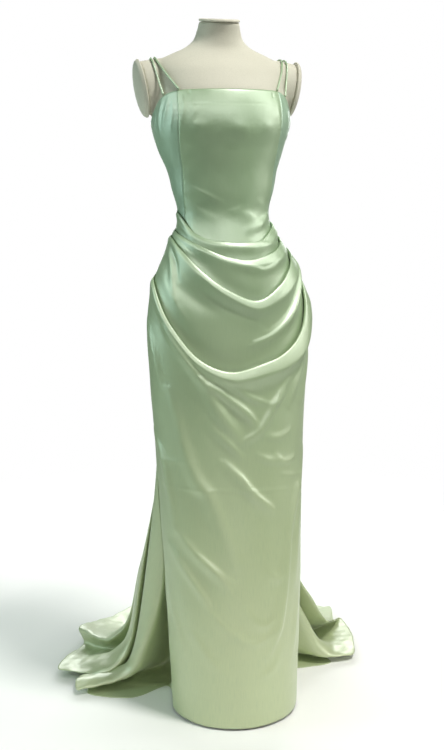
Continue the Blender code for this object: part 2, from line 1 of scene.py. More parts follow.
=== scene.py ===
"""Looks of the satin evening gown on its limbless dress form.

Every cloth panel is a fine thin shell on the same surface as its CAD solid. SECTIONS gives
the gown's ellipse at each height, DRAPE the rolled edges of the swags, FOLDS the lines of
the back skirt and train, and CREASES the ridges and troughs that are laid on top.
"""

import math

import bmesh
import bpy
import numpy as np
from mathutils import Matrix, Vector
from mathutils.bvhtree import BVHTree


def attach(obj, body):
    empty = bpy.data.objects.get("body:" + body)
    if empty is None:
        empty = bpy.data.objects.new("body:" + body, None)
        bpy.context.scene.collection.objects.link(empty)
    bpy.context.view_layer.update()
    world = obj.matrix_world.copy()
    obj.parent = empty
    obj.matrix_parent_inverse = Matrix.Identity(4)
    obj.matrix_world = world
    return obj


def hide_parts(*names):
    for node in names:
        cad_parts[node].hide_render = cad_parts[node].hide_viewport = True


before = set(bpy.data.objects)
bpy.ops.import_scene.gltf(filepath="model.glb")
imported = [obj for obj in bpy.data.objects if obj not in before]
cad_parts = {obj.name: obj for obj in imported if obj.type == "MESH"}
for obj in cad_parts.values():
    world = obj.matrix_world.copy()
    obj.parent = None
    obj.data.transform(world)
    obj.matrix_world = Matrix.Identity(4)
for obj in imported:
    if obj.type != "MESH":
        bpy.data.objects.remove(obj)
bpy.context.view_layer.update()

# ---------------------------------------------------------------- sizes, as in the CAD

THREAD = 0.0009  # thickness of the cloth shown
SEAM_GAP = 0.0003
LAYER_STEP = 0.0022
SIDE_SEAM = 94.0
WAIST_HEIGHT = 1.190
DRAPE_TUCK = 0.026
HEM_CLEARANCE = 0.005
TRAIN_REST = 0.0008
PLACKET_BOTTOM = 1.010
PLACKET_WIDTH = 0.016
PLACKET_LAP = 0.002
PLACKET_OUT = 0.0021
STRAP_RADIUS = 0.0022
STRAP_CLEARANCE = 0.0008
FORM_CLEARANCE = 0.0030
FORM_BOTTOM = 0.860
NECK_TILT = math.radians(7.0)
NECK_TOP = 1.632
CAP_RADIUS = 0.047
CAP_THICKNESS = 0.006
CAP_PROFILE = (  # height, share of the radius
    ((-0.0028, 0.93), (-0.0028, 0.972), (-0.0018, 0.997), (0.0, 1.0), (0.0018, 0.997))
    + ((0.0028, 0.975), (0.0031, 0.93), (0.0033, 0.60), (0.0034, 0.15))
)
STUMP_CENTRE = (0.122, 0.021, 1.493)
STUMP_HALF_LENGTH = 0.056
STUMP_DEPTH = 0.042
STUMP_HALF_HEIGHT = 0.060
STUMP_TILT = math.radians(10.0)
SKIRT_RELAXED = 0.640
SEAT = 0.780  # height at which the folds leave the body
BODY_ROWS = 62
TRAIN_STEPS = (20, 28, 30, 28, 28)
TRAIN_RIPPLE = 0.0012
SEAM_CATCH = 9.0  # degrees over which a swag narrows into the side seam
SEAM_DIP = 0.0011
PUCKER = 0.00022
PUCKER_PITCH = 0.0135
FACING_DEPTH = 0.032
UNDER_DRAPE = 0.0016  # most that the bodice may stand out where the drape covers it
WORN = 0.0004  # unevenness of a worn bodice
GIRTH_SHARE = 0.88  # a section's mean radius as a share of its half width
STRAP_SIDES = 12
STRAP_PULLS = 90  # rounds of pulling a strap taut
FORM_VOXEL = 0.0036

# The ellipses of the body and, from the neckline up, of the form's shoulders and neck, in
# millimetres.
SECTION_COLUMNS = ("height", "half_width", "front", "back", "centre_x", "centre_y")
SECTIONS = (
    (5, 154, 149, 90, 13, -78),
    (180, 161, 147, 94, 13, -71),
    (350, 168, 144, 98, 13, -60),
    (500, 174, 140, 104, 12, -47),
    (650, 180, 136, 112, 12, -37),
    (800, 187, 132, 122, 11, -27),
    (923, 188, 130, 128, 10, -20),
    (995, 181, 128, 124, 9, -17),
    (1066, 161, 120, 112, 7, -15),
    (1113, 138, 108, 98, 5, -14),
    (1160, 115, 94, 82, 4, -13),
    (1205, 108, 86, 74, 3, -12),
    (1253, 119, 92, 78, 3, -10),
    (1300, 130, 100, 84, 2, -6),
    (1345, 147, 112, 90, 0, -2),
    (1405, 163, 125, 100, 0, 0),
    (1480, 154, 112, 102, -1, 6),
    (1520, 140, 95, 95, -2, 12),
)
SHOULDER_SECTIONS = (
    (1480, 152, 110, 100, -1, 6),
    (1505, 154, 96, 94, -1, 10),
    (1530, 152, 80, 82, -1, 14),
    (1546, 140, 66, 72, -1, 17),
    (1560, 112, 56, 62, -1, 18),
    (1572, 84, 50, 56, -1, 18),
    (1588, 62, 47, 52, -1, 16),
    (1610, 52, 46, 48, -1, 12),
    (1632, 47, 46, 46, -1, 6),
)
NECKLINE_COLUMNS = ("angle", "height")
NECKLINE = (
    (0, 1.479),
    (30, 1.478),
    (50, 1.475),
    (64, 1.466),
    (72, 1.455),
    (82, 1.430),
    (94, 1.408),
    (115, 1.400),
    (150, 1.404),
    (180, 1.405),
)
PRINCESS_COLUMNS = ("height", "angle")
PRINCESS = (
    (1.120, 70),
    (1.180, 70),
    (1.217, 68),
    (1.274, 60),
    (1.343, 52),
    (1.402, 48),
    (1.480, 50),
)
DRAPE_COLUMNS = ("angle", "upper", "middle", "lower", "skirt")
DRAPE = (
    (-94, 1.210, 1.168, 1.155, 1.068),
    (-75, 1.197, 1.158, 1.145, 1.032),
    (-50, 1.163, 1.143, 1.114, 0.947),
    (-30, 1.147, 1.127, 1.077, 0.880),
    (-10, 1.141, 1.109, 1.036, 0.852),
    (10, 1.139, 1.101, 1.011, 0.865),
    (30, 1.143, 1.110, 1.038, 0.887),
    (50, 1.160, 1.124, 1.074, 0.932),
    (70, 1.174, 1.140, 1.102, 1.010),
    (94, 1.180, 1.150, 1.125, 1.068),
)
LAYERS = DRAPE_COLUMNS[1:]

# How far the roll of each edge stands out, and how far below the edge it is proudest.
CREST_COLUMNS = ("angle", "upper", "middle", "lower", "skirt")
CRESTS = (
    (-94, 0.005, 0.005, 0.005, 0.006),
    (-60, 0.005, 0.006, 0.007, 0.009),
    (-20, 0.006, 0.008, 0.011, 0.013),
    (20, 0.007, 0.009, 0.014, 0.017),
    (60, 0.009, 0.010, 0.013, 0.017),
    (94, 0.006, 0.006, 0.008, 0.010),
)
CREST_DROPS = (
    (-94, 0.005, 0.005, 0.005, 0.006),
    (-60, 0.006, 0.006, 0.007, 0.008),
    (-20, 0.007, 0.008, 0.011, 0.013),
    (0, 0.008, 0.010, 0.015, 0.020),
    (22, 0.011, 0.013, 0.019, 0.025),
    (40, 0.014, 0.017, 0.024, 0.034),
    (60, 0.017, 0.021, 0.028, 0.050),
    (94, 0.018, 0.022, 0.030, 0.050),
)
CREST_FALLS = {"upper": 0.015, "middle": 0.020, "lower": 0.025, "skirt": 0.026}
POCKETS = {"middle": (0.0035, 0.022), "lower": (0.0065, 0.034)}  # depth, reach above the next
LIP = ((0.014, 0.04), (0.009, 0.07), (0.004, 0.16), (0.001, 0.27))  # drop behind, share

# The lines of the back skirt and train, from the side seam to the centre back. Each has its
# plan angle at the seat, and then the x, y and z, in millimetres, of the knee where it leaves
# the body's line, of its foot, of a middle point on the floor and of its hem.
FOLDS_RIGHT = (
    (101, -116, 36, 300, -107, 62, 30, -114, 58, 2, -126, 50, 0),
    (105, -112, 60, 300, -92, 98, 30, -150, 58, 1, -226, 12, 0),
    (108, -112, 66, 300, -88, 120, 30, -215, 85, 2, -328, 64, 0),
    (110, -118, 86, 300, -98, 158, 40, -195, 145, 6, -292, 134, 4),
    (112, -137, 36, 300, -182, 52, 97, -228, 64, 30, -354, 60, 14),
    (117, -173, 80, 290, -207, 90, 92, -247, 100, 42, -352, 102, 24),
    (121, -148, 140, 300, -172, 172, 50, -250, 168, 12, -318, 172, 10),
    (125, -178, 114, 280, -211, 116, 92, -280, 102, 32, -385, 183, 20),
    (132, -174, 160, 270, -210, 175, 88, -306, 190, 32, -352, 265, 16),
    (139, -142, 205, 270, -176, 245, 45, -240, 290, 12, -292, 350, 8),
    (144, -158, 200, 290, -188, 230, 120, -245, 246, 58, -303, 356, 54),
    (151, -146, 228, 280, -178, 272, 85, -232, 350, 38, -243, 453, 26),
    (160, -108, 230, 280, -125, 312, 20, -155, 420, 6, -177, 527, 4),
    (170, -60, 235, 300, -65, 330, 45, -96, 460, 16, -110, 568, 9),
)
FOLDS_LEFT = (
    (101, 116, 36, 300, 107, 66, 30, 114, 64, 2, 128, 60, 0),
    (105, 115, 60, 300, 98, 100, 30, 160, 74, 1, 236, 56, 0),
    (108, 118, 66, 300, 98, 130, 30, 215, 105, 2, 326, 66, 0),
    (110, 122, 86, 300, 110, 168, 40, 215, 160, 6, 306, 146, 4),
    (113, 184, 60, 290, 244, 82, 112, 290, 62, 28, 381, 62, 14),
    (119, 204, 96, 290, 268, 114, 104, 338, 108, 32, 422, 143, 18),
    (124, 184, 150, 290, 232, 192, 50, 322, 200, 12, 449, 236, 8),
    (128, 190, 164, 280, 240, 220, 40, 340, 270, 8, 456, 324, 6),
    (132, 220, 108, 300, 294, 122, 154, 346, 160, 80, 400, 238, 42),
    (139, 200, 165, 280, 268, 210, 118, 352, 272, 46, 444, 372, 22),
    (147, 150, 215, 270, 182, 262, 30, 285, 350, 8, 428, 426, 5),
    (155, 126, 225, 280, 150, 290, 45, 235, 395, 18, 366, 482, 9),
    (163, 90, 232, 280, 100, 320, 12, 165, 440, 4, 260, 545, 2),
    (172, 45, 236, 290, 50, 338, 40, 80, 470, 16, 130, 588, 10),
)
CENTRE_BACK = (180, 0, 235, 280, 0, 340, 12, 0, 470, 3, 0, 600, 0)
SEAM_RETURN = 97.5

# Creases laid on top, listed one by one. Each has its rise (a trough where it is negative), its
# width on the side to the left as it runs and to the right, and the (angle, height) places that
# it runs through. Sizes are in millimetres.
CREASES = {
    "bodice": (
        (1.7, 3.5, 9, (-49, 1263), (-32, 1248), (-14, 1230)),
        (1.2, 4, 7, (-7, 1208), (2, 1212), (11, 1218)),
        (2.1, 6, 12, (6, 1206), (24, 1196), (46, 1172)),
        (4.7, 5, 8, (14, 1166), (30, 1174), (44, 1186), (60, 1200)),
        (1.6, 7, 9, (30, 1230), (44, 1222), (58, 1200)),
        (1.3, 6, 10, (-62, 1230), (-40, 1208), (-22, 1190)),
        (1.6, 3, 4, (-58, 1462), (-61, 1435), (-66, 1395)),
        (1.6, 3.5, 5, (-66, 1452), (-70, 1425), (-74, 1370)),
        (1.2, 2.5, 3, (-54, 1455), (-53, 1430), (-57, 1388)),
        (1.3, 4, 4, (-44, 1462), (-42, 1440), (-45, 1400)),
        (1, 4, 5, (-36, 1452), (-33, 1432), (-36, 1408)),
        (1.4, 4, 5, (-78, 1425), (-80, 1392), (-83, 1345)),
        (1.4, 4, 3, (58, 1462), (60, 1435), (64, 1395)),
        (1.3, 5, 4, (70, 1446), (74, 1415), (78, 1370)),
        (1, 4, 4, (42, 1455), (43, 1425), (46, 1395)),
        (2, 9, 12, (-37, 1402), (-30, 1398), (-22, 1402)),
        (2.2, 11, 13, (-3, 1396), (5, 1393), (12, 1396)),
        (1.8, 9, 12, (24, 1401), (31, 1397), (38, 1401)),
        (-2.1, 3, 3, (-39, 1474), (-37, 1473)),
        (-2.1, 3, 3, (38, 1467), (40, 1466)),
        (1, 6, 7, (-64, 1345), (-70, 1300), (-76, 1255)),
        (1.2, 7, 7, (60, 1330), (68, 1290), (76, 1250)),
        (1.6, 6, 9, (104, 1250), (132, 1232), (160, 1238)),
        (1.3, 5, 7, (110, 1215), (140, 1206), (168, 1214)),
        (1.6, 9, 6, (-100, 1262), (-128, 1240), (-158, 1244)),
        (1.3, 7, 5, (-112, 1222), (-142, 1212), (-170, 1218)),
        (1.2, 7, 9, (100, 1375), (116, 1345), (128, 1300)),
        (1.2, 9, 7, (-101, 1370), (-118, 1340), (-131, 1296)),
    ),
    "upper": (
        (1.8, 3, 7, (22, 1141), (38, 1134), (56, 1128)),
        (1.2, 2.5, 5, (-84, 1188), (-64, 1166), (-46, 1150)),
        (1.2, 4, 6, (58, 1158), (72, 1161), (88, 1166)),
    ),
    "middle": (
        (2.8, 3.5, 9, (5, 1092), (14, 1083), (20, 1078), (30, 1084), (40, 1097), (56, 1111)),
        (1.3, 2.5, 5, (-80, 1150), (-62, 1134), (-42, 1112)),
        (1.5, 4, 7, (60, 1100), (74, 1112), (90, 1128)),
    ),
    "lower": (
        (8, 11, 3.5, (87, 1108), (78, 1080), (67, 1048), (55, 1014), (42, 976), (32, 951),
            (20, 928), (7, 914)),
        (-3.6, 4, 8, (80, 1098), (68, 1066), (57, 1034), (44, 994), (32, 968), (18, 944)),
        (3.2, 3.5, 7, (-77, 1124), (-64, 1090), (-57, 1050), (-51, 1010)),
        (-3.4, 5, 3.5, (-72, 1130), (-59, 1094), (-52, 1056)),
        (1, 4, 9, (-68, 1052), (-52, 1010), (-38, 962)),
        (1.2, 7, 14, (-60, 1090), (-38, 1040), (-18, 990), (0, 955)),
        (1.6, 5, 10, (-30, 1020), (-8, 978), (10, 955)),
        (1.8, 6, 4, (84, 1096), (70, 1078), (58, 1052)),
        (-5, 18, 14, (-62, 1064), (-44, 1034), (-24, 1002), (0, 976)),
        (1.5, 6, 5, (88, 1020), (76, 992), (68, 975)),
    ),
    "skirt": (
        (6.8, 4.5, 10, (-58, 950), (-42, 889), (-29, 835), (-15, 803)),
        (9, 8, 13, (-30, 836), (-18, 760), (-5, 695)),
        (7.9, 6, 8, (-24, 822), (-10, 786), (0, 757), (8, 724)),
        (4.2, 5, 7, (-6, 812), (4, 790), (18, 770)),
        (7.2, 9, 5, (34, 822), (25, 786), (17, 744), (10, 712), (-4, 684)),
        (3.2, 6, 4, (18, 770), (26, 777), (31, 800)),
        (5.5, 5, 8, (-26, 730), (-12, 684), (-3, 652)),
        (9, 10, 16, (-58, 806), (-51, 738), (-47, 672), (-38, 604), (-28, 560),
            (-18, 480), (-10, 400)),
        (8.5, 5, 11, (-17, 644), (-5, 607), (6, 564), (22, 522)),
        (3.4, 5, 6, (24, 650), (34, 630), (48, 634)),
        (3.4, 6, 7, (14, 700), (26, 690), (40, 700)),
        (3.8, 6, 7, (8, 655), (18, 640), (30, 632)),
        (1.4, 2, 2, (-94, 636), (-64, 637), (-36, 641)),
        (2, 3, 4, (30, 602), (44, 592), (60, 586)),
        (1.4, 2, 2, (-94, 580), (-50, 576), (-12, 575), (30, 565), (66, 549)),
        (6.4, 9, 12, (-92, 700), (-74, 640), (-66, 560), (-62, 470)),
        (9.2, 6, 11, (54, 560), (42, 470), (37, 398), (32, 300), (27, 238), (15, 172)),
        (5.1, 9, 12, (70, 640), (58, 540), (54, 430), (50, 330)),
        (2.9, 5, 8, (16, 380), (24, 360), (34, 372)),
        (5.5, 5, 10, (-72, 436), (-57, 394), (-41, 338), (-34, 300)),
        (5.1, 6, 11, (-60, 480), (-44, 430), (-26, 380), (-14, 330)),
        (3.4, 4, 8, (-38, 420), (-22, 380), (-12, 352)),
        (4.7, 4, 9, (-33, 290), (-22, 258), (-12, 236), (-3, 218), (6, 215), (16, 224), (27, 244)),
        (3.4, 5, 8, (-6, 300), (4, 262), (14, 252), (24, 268)),
        (3.4, 6, 10, (-50, 230), (-34, 170), (-20, 140)),
        (2.9, 9, 6, (30, 180), (20, 140), (6, 124)),
        (3.8, 8, 10, (60, 300), (52, 220), (46, 150)),
        (3.8, 8, 10, (-80, 330), (-70, 240), (-60, 180)),
        (-1, 1.8, 1.8, (-94, 83), (-50, 80), (0, 78), (50, 80), (94, 83)),
        (4.2, 8, 10, (80, 900), (66, 840), (58, 760)),
        (4.7, 9, 11, (-84, 960), (-72, 880), (-66, 800)),
        (3.4, 7, 8, (60, 862), (46, 812), (38, 760)),
    ),
    "back": (
        (3, 6, 12, (100, 1150), (118, 1105), (140, 1060), (160, 1030)),
        (3.2, 7, 13, (100, 1110), (116, 1050), (134, 980), (150, 930)),
        (2.6, 8, 13, (102, 1020), (118, 940), (132, 870)),
        (1.6, 8, 8, (178, 1150), (176, 1000), (170, 860)),
        (3, 12, 6, (-100, 1148), (-120, 1098), (-142, 1052), (-162, 1028)),
        (3.2, 13, 7, (-100, 1100), (-118, 1036), (-136, 970), (-152, 915)),
        (2.6, 13, 8, (-103, 1000), (-120, 920), (-134, 860)),
        (1.6, 8, 8, (-178, 1150), (-175, 990), (-168, 850)),
    ),
}

# ---------------------------------------------------------------- the gown's surface


def metres(table):
    """A table of millimetres in metres."""
    return np.array(table) / 1000


def smooth(table, column, at):
    """A named table's column read at a value of its first column, on a smooth curve."""
    names, rows = table
    data = np.array(rows, float)
    key = data[:, 0]
    value = data[:, names.index(column)]
    at = np.clip(np.asarray(at, float), key[0], key[-1])
    slope = np.gradient(value, key)
    i = np.clip(np.searchsorted(key, at, side="right") - 1, 0, len(key) - 2)
    width = key[i + 1] - key[i]
    u = (at - key[i]) / width
    rise = (2 * u**3 - 3 * u**2 + 1) * value[i] + (3 * u**2 - 2 * u**3) * value[i + 1]
    return rise + ((u**3 - 2 * u**2 + u) * slope[i] + (u**3 - u**2) * slope[i + 1]) * width


def section_point(table, angle, height, out=0.0):
    """Points of a section table, at plan angles and heights, moved out by a distance."""
    half, front, back, centre_x, centre_y = (
        smooth((SECTION_COLUMNS, metres(table)), name, height) for name in SECTION_COLUMNS[1:]
    )
    turn = np.radians(angle)
    lean = np.cos(turn)
    # The front and back halves are joined over a few degrees, so no line shows at the side.
    mix = 0.5 + 0.5 * np.clip(lean / 0.12, -1.0, 1.0)
    depth = back + (front - back) * mix * mix * (3 - 2 * mix) + out
    x = centre_x + (half + out) * np.sin(turn)
    y = centre_y - depth * lean
    return np.stack(np.broadcast_arrays(x, y, height), axis=-1)


def gown_point(angle, height, out=0.0):
    """Points on the gown's own surface."""
    return section_point(SECTIONS, angle, height, out)


def neckline(angle):
    """Height of the top edge at an angle."""
    return smooth((NECKLINE_COLUMNS, NECKLINE), "height", np.abs(angle))


def princess(height):
    """Angle of the princess seam at a height."""
    return smooth((PRINCESS_COLUMNS, PRINCESS), "angle", height)


def drape_edge(name, angle):
    """Height of the rolled edge of one layer of the drape."""
    return smooth((DRAPE_COLUMNS, DRAPE), name, angle)


def half_width(height):
    """Half the gown's width at a height."""
    return smooth((SECTION_COLUMNS, metres(SECTIONS)), "half_width", height)


def gap_angle(angle, height):
    """The turn that moves a point half a seam gap round its section."""
    half, front, back = (
        smooth((SECTION_COLUMNS, metres(SECTIONS)), name, height)
        for name in ("half_width", "front", "back")
    )
    turn = np.radians(angle)
    depth = np.where(np.cos(turn) > 0, front, back)
    pace = np.hypot(half * np.cos(turn), depth * np.sin(turn))
    return np.degrees(SEAM_GAP / 2 / pace)


def through(points, steps):
    """Points on a smooth curve through rows, with a number of steps to each span."""
    points = np.asarray(points, float)
    ends = 2 * points[:1] - points[1:2], 2 * points[-1:] - points[-2:-1]
    padded = np.concatenate([ends[0], points, ends[1]])
    found = []
    for i, count in enumerate(steps):
        a, b, c, d = padded[i : i + 4]
        for u in np.linspace(0.0, 1.0, count, endpoint=False):
            bend = 2 * a - 5 * b + 4 * c - d
            twist = 3 * b - a - 3 * c + d
            found.append(0.5 * (2 * b + (c - a) * u + bend * u**2 + twist * u**3))
    return np.array([*found, points[-1]])


def flat_place(angle, height):
    """A place on the gown laid flat, in metres, for measuring widths of creases."""
    return np.stack([np.radians(angle) * half_width(height) * GIRTH_SHARE, height], axis=-1)


def crease_relief(group, angle, height):
    """How far the listed creases of one group stand out over a grid."""
    angle, height = np.broadcast_arrays(angle, height)
    places = flat_place(angle, height)
    total = np.zeros(angle.shape)
    for rise, left, right, *path in CREASES[group]:
        line = through(np.array(path) / (1, 1000), [24] * (len(path) - 1))
        line = flat_place(line[:, 0], line[:, 1])
        reach = 0.0035 * max(left, right)
        low, high = line.min(axis=0) - reach, line.max(axis=0) + reach
        near = np.all((places > low) & (places < high), axis=-1)
        if not near.any():
            continue
        spots = places[near]
        ahead = np.gradient(line, axis=0)
        pace = np.linalg.norm(ahead, axis=1, keepdims=True)
        ahead = ahead / pace
        closest = np.argmin(((spots[:, None] - line[None]) ** 2).sum(axis=2), axis=1)
        apart = spots - line[closest]
        run = (apart * ahead[closest]).sum(axis=1)
        side = ahead[closest, 0] * apart[:, 1] - ahead[closest, 1] * apart[:, 0]
        along = closest + np.clip(run / pace[closest, 0], -0.5, 0.5)
        beyond = np.where(closest == 0, np.minimum(run, 0), 0)
        beyond += np.where(closest == len(line) - 1, np.maximum(run, 0), 0)
        share = np.clip(along / (len(line) - 1), 0.0, 1.0)
        taper = np.sin(np.pi * (0.12 + 0.76 * share)) ** 1.2
        width = np.where(side > 0, left, right) * 0.001
        bump = np.exp(-0.5 * (side / width) ** 2 - 0.5 * (beyond / (0.6 * width)) ** 2)
        total[near] += 0.001 * rise * taper * bump
    return total


# ---------------------------------------------------------------- materials


class Nodes:
    """A short way to build a material's nodes."""

    def __init__(self, name):
        self.material = bpy.data.materials.new(name)
        self.material.use_nodes = True
        self.tree = self.material.node_tree
        self.shader = self.tree.nodes["Principled BSDF"]

    def add(self, kind, **settings):
        """A node with its settings, and its inputs where a name starts with a capital."""
        node = self.tree.nodes.new(kind)
        for key, value in settings.items():
            if hasattr(node, key) and not key[0].isupper():
                setattr(node, key, value)
            else:
                node.inputs[key.replace("_", " ")].default_value = value
        return node

    def link(self, start, end):
        """Join an output to an input."""
        self.tree.links.new(start, end)

    def place(self, source, scale=(1.0, 1.0, 1.0)):
        """Places on the cut (UV) or on the object, in metres, times a scale."""
        coords = self.add("ShaderNodeTexCoord")
        mapping = self.add("ShaderNodeMapping", Scale=scale)
        self.link(coords.outputs[source], mapping.inputs["Vector"])
        return mapping.outputs["Vector"]

    def noise(self, vector, scale, detail=2.0, roughness=0.5):
        """Cloudy noise between 0 and 1."""
        node = self.add("ShaderNodeTexNoise", Scale=scale, Detail=detail, Roughness=roughness)
        self.link(vector, node.inputs["Vector"])
        return node.outputs["Fac"]

    def spread(self, value, low, high, start=0.3, end=0.7):
        """A value's range from start to end, mapped to low to high."""
        node = self.add("ShaderNodeMapRange", From_Min=start, From_Max=end)
        node.inputs["To Min"].default_value = low
        node.inputs["To Max"].default_value = high
        self.link(value, node.inputs["Value"])
        return node.outputs["Result"]

    def mix(self, factor, first, second):
        """A colour between two, each a tuple or another node's output."""
        node = self.add("ShaderNodeMix", data_type="RGBA")
        self.link(factor, node.inputs["Factor"])
        for socket, colour in ((node.inputs["A"], first), (node.inputs["B"], second)):
            if isinstance(colour, tuple):
                socket.default_value = (*colour, 1.0)
            else:
                self.link(colour, socket)
        return node.outputs["Result"]

    def bump(self, height, strength, distance, before=None):
        """A bump from a height, on top of the one before it."""
        node = self.add("ShaderNodeBump", Strength=strength, Distance=distance)
        self.link(height, node.inputs["Height"])
        if before:
            self.link(before, node.inputs["Normal"])
        return node.outputs["Normal"]

    def finish(self, **inputs):
        """The material, once the shader's own inputs are set or linked."""
        for key, value in inputs.items():
            socket = self.shader.inputs[key.replace("_", " ")]
            if isinstance(value, bpy.types.NodeSocket):
                self.link(value, socket)
            else:
                socket.default_value = value
        return self.material


def weave(nodes, vector, warp, weft):
    """Height of a plain or satin weave: two sets of threads, the warp prouder."""
    heights = []
    for direction, pitch in (("X", warp), ("Y", weft)):
        wave = nodes.add("ShaderNodeTexWave", bands_direction=direction, Scale=0.314 / pitch)
        wave.inputs["Distortion"].default_value = 0.6
        wave.inputs["Detail"].default_value = 1.0
        nodes.link(vector, wave.inputs["Vector"])
        heights.append(wave.outputs["Fac"])
    both = nodes.add("ShaderNodeMath", operation="ADD")
    nodes.link(heights[0], both.inputs[0])
    nodes.link(heights[1], both.inputs[1])
    return both.outputs["Value"]


PAINTED_HEM_LIGHT_TINT = (1.48, 1.18, 1.18)  # painted light: how much paler and yellower the satin is made toward the hem, for the brighter, warmer light on the lower skirt


def satin(name, light, deep):
    """Heavy sage satin: a broad soft shine, fine threads along the cut, faint slubs, and painted
    light that makes it paler and yellower toward the hem.
    """
    nodes = Nodes(name)
    flat = nodes.place("UV")
    body = nodes.place("Object")
    cloud = nodes.spread(nodes.noise(body, 5.0, 3.0), 0.0, 1.0)
    tone = nodes.mix(cloud, light, deep)
    # Painted light: below 1.2 m the tone turns paler and yellower toward the hem, for the brighter
    # light on the lower skirt.
    split = nodes.add("ShaderNodeSeparateXYZ")
    nodes.link(body, split.inputs["Vector"])
    painted_hem_light_fade = nodes.spread(split.outputs["Z"], 0.0, 1.0, 0.25, 1.20)
    tone = nodes.mix(painted_hem_light_fade, tuple(c * d for c, d in zip(light, PAINTED_HEM_LIGHT_TINT)), tone)
    slub = nodes.noise(nodes.place("UV", (900.0, 26.0, 1.0)), 1.0, 2.0, 0.6)
    darker = tuple(channel * 0.86 for channel in deep)
    streak = nodes.spread(slub, 0.0, 0.30, 0.45, 0.75)
    threads = nodes.bump(weave(nodes, flat, 0.00045, 0.0008), 0.10, 0.0002)
    handle = nodes.bump(nodes.noise(body, 70.0, 2.0), 0.10, 0.0010, threads)
    return nodes.finish(
        Base_Color=nodes.mix(streak, tone, darker),
        Roughness=nodes.spread(nodes.noise(flat, 38.0, 3.0), 0.35, 0.44),
        Normal=nodes.bump(nodes.noise(body, 20.0, 4.0, 0.6), 0.20, 0.0030, handle),
        Metallic=0.08,
        IOR=1.75,
        Specular_IOR_Level=0.9,
        Sheen_Weight=0.18,
        Sheen_Roughness=0.45,
        Sheen_Tint=(0.90, 1.0, 0.90, 1.0),
    )


def linen(name, light, deep):
    """Unbleached linen over padding, with its weave, flecks and soft clouds of tone."""
    nodes = Nodes(name)
    body = nodes.place("Object")
    cloud = nodes.spread(nodes.noise(body, 6.0, 4.0), 0.0, 1.0)
    fleck = nodes.spread(nodes.noise(body, 420.0, 2.0), 0.0, 0.35, 0.45, 0.8)
    tone = nodes.mix(cloud, light, deep)
    darker = tuple(channel * 0.78 for channel in deep)
    return nodes.finish(
        Base_Color=nodes.mix(fleck, tone, darker),
        Roughness=nodes.spread(nodes.noise(body, 25.0, 2.0), 0.72, 0.86),
        Normal=nodes.bump(weave(nodes, body, 0.0011, 0.0011), 0.22, 0.0004),
        Sheen_Weight=0.15,
        Sheen_Roughness=0.5,
    )


def steel(name):
    """Brushed and lacquered steel of the stand."""
    nodes = Nodes(name)
    grain = nodes.noise(nodes.place("Object", (6.0, 6.0, 900.0)), 3.0, 3.0)
    cloud = nodes.noise(nodes.place("Object"), 14.0, 3.0)
    tone = nodes.mix(nodes.spread(cloud, 0.0, 1.0), (0.40, 0.41, 0.42), (0.30, 0.31, 0.32))
    return nodes.finish(
        Base_Color=tone,
        Roughness=nodes.spread(grain, 0.28, 0.44),
        Normal=nodes.bump(grain, 0.12, 0.0002),
        Metallic=1.0,
    )


SATIN = satin("satin_sage", (0.312, 0.450, 0.250), (0.280, 0.415, 0.230))
# Painted reflection: the side fronts get a copy of the satin tinted more teal, for the cool light
# that they face.
SATIN_SIDE_PAINTED_TEAL = satin("satin_sage_side_painted_teal", (0.292, 0.455, 0.300), (0.262, 0.420, 0.280))
LINEN = linen("linen_cream", (0.640, 0.625, 0.520), (0.585, 0.570, 0.465))
CAP = linen("linen_cap", (0.700, 0.680, 0.570), (0.640, 0.620, 0.505))
STEEL = steel("steel_brushed")

# ---------------------------------------------------------------- building meshes


def put(name, data):
    """A new object in the scene."""
    made = bpy.data.objects.new(name, data)
    bpy.context.scene.collection.objects.link(made)
    return made


def add_piece(mesh, name, finish, node):
    """A piece of the part, from its mesh, that replaces its CAD node."""
    mesh.materials.append(finish)
    mesh.shade_smooth()
    made = put(name, mesh)
    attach(made, "root")
    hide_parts(node)
    return made


def cloth_mesh(name, points, faces, uv):
    """A mesh of cloth, whose UV map is its flat cut in metres."""
    mesh = bpy.data.meshes.new(name)
    mesh.from_pydata(points.tolist(), [], faces)
    layer = mesh.uv_layers.new(name="cut")
    corner = np.empty(len(mesh.loops), np.int32)
    mesh.loops.foreach_get("vertex_index", corner)
    layer.data.foreach_set("uv", uv.astype(np.float32)[corner].ravel())
    return mesh


def grid_faces(rows, columns, closed=False):
    """Quads of a grid of points, row by row; a closed one is a tube with capped ends."""
    index = np.arange(rows * columns).reshape(rows, columns)
    caps = []
    if closed:
        caps = [index[0, ::-1].tolist(), index[-1].tolist()]
        index = np.concatenate([index, index[:, :1]], axis=1)
    low, high = index[:-1], index[1:]
    corners = (low[:, :-1], low[:, 1:], high[:, 1:], high[:, :-1])
    return np.stack(corners, axis=-1).reshape(-1, 4).tolist() + caps


def cloth(name, points, finish):
    """A thin shell of cloth on a grid of points, rows going up and columns going round."""
    rows, columns = points.shape[:2]
    across = np.linalg.norm(np.diff(points, axis=1), axis=2)
    up = np.linalg.norm(np.diff(points, axis=0), axis=2)
    u = np.concatenate([np.zeros((rows, 1)), np.cumsum(across, axis=1)], axis=1)
    u = u - u.mean(axis=1, keepdims=True)
    v = np.concatenate([np.zeros((1, columns)), np.cumsum(up, axis=0)], axis=0)
    uv = np.stack([u, np.broadcast_to(v.mean(axis=1, keepdims=True), u.shape)], axis=-1)
    faces = grid_faces(rows, columns)
    flat_points = points.reshape(-1, 3)
    mesh = cloth_mesh(name, flat_points, faces, uv.reshape(-1, 2))
    made = add_piece(mesh, f"{name}_satin", finish, name)
    wall = made.modifiers.new("Wall", "SOLIDIFY")
    wall.thickness = THREAD
    wall.offset = 0.0


def dense_ends(count, pull=0.72):
    """Shares from 0 to 1, closer together at both ends."""
    t = np.linspace(0.0, 1.0, count)
    return t - pull * np.sin(2 * np.pi * t) / (2 * np.pi)


# ---------------------------------------------------------------- bodice


